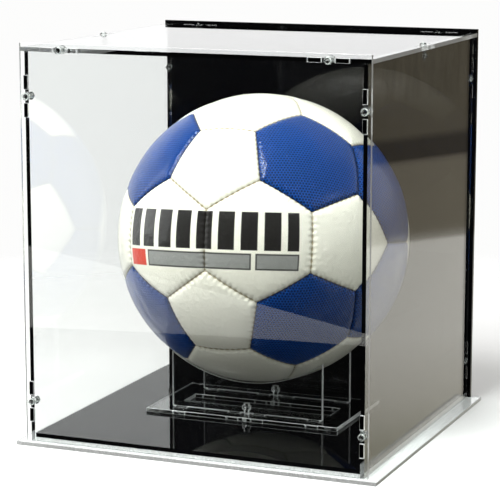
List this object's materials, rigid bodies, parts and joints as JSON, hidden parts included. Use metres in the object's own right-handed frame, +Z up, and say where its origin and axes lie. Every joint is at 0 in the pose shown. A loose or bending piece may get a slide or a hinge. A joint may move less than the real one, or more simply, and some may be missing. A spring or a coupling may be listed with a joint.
{
  "type": "ball display case",
  "caption": "Clear box of slotted, screwed sheets with a black back, lifted off a lipped base that holds a ball on a two-rib cradle.",
  "frame": {"origin": "centre of the base plate's underside, where the case stands on a table", "axes": "+X to the right seen from the front, +Y towards the black back panel, +Z up"},
  "size_m": [0.2794, 0.255, 0.2947],
  "materials": {
    "clear_acrylic": "polished clear sheet",
    "black_acrylic": "high gloss",
    "clear_fastener": "moulded, clear",
    "ball_white": "glossy coated",
    "ball_blue": "glossy coated, fine honeycomb grain",
    "bladder_rubber": "matte",
    "valve_rubber": "matte"
  },
  "bodies": {
    "base": {"base_plate": "clear_acrylic", "plinth_plate": "clear_acrylic", "floor_panel": "black_acrylic", "stand_base": "clear_acrylic", "stand_front_upright": "clear_acrylic", "stand_back_upright": "clear_acrylic", "stand_screws": "clear_fastener", "stand_nuts": "clear_fastener"},
    "hood": {"front_panel": "clear_acrylic", "back_panel": "black_acrylic", "left_panel": "clear_acrylic", "right_panel": "clear_acrylic", "top_panel": "clear_acrylic", "front_side_screws": "clear_fastener", "front_side_nuts": "clear_fastener", "front_top_screws": "clear_fastener", "front_top_nuts": "clear_fastener", "back_side_screws": "clear_fastener", "back_side_nuts": "clear_fastener", "back_top_screws": "clear_fastener", "back_top_nuts": "clear_fastener", "roof_screws": "clear_fastener", "roof_nuts": "clear_fastener"},
    "ball": {"ball_pentagons": "ball_white", "ball_white_hexagons": "ball_white", "ball_blue_hexagons": "ball_blue", "ball_bladder": "bladder_rubber", "ball_valve": "valve_rubber"}
  },
  "joints": [
    {"name": "hood_lift", "type": "slide", "parent": "base", "child": "hood", "axis": [0, 0, 1], "range_m": [0, 0.3]},
    {"name": "ball_lift", "type": "slide", "parent": "base", "child": "ball", "axis": [0, 0, 1], "range_m": [0, 0.035]}
  ]
}
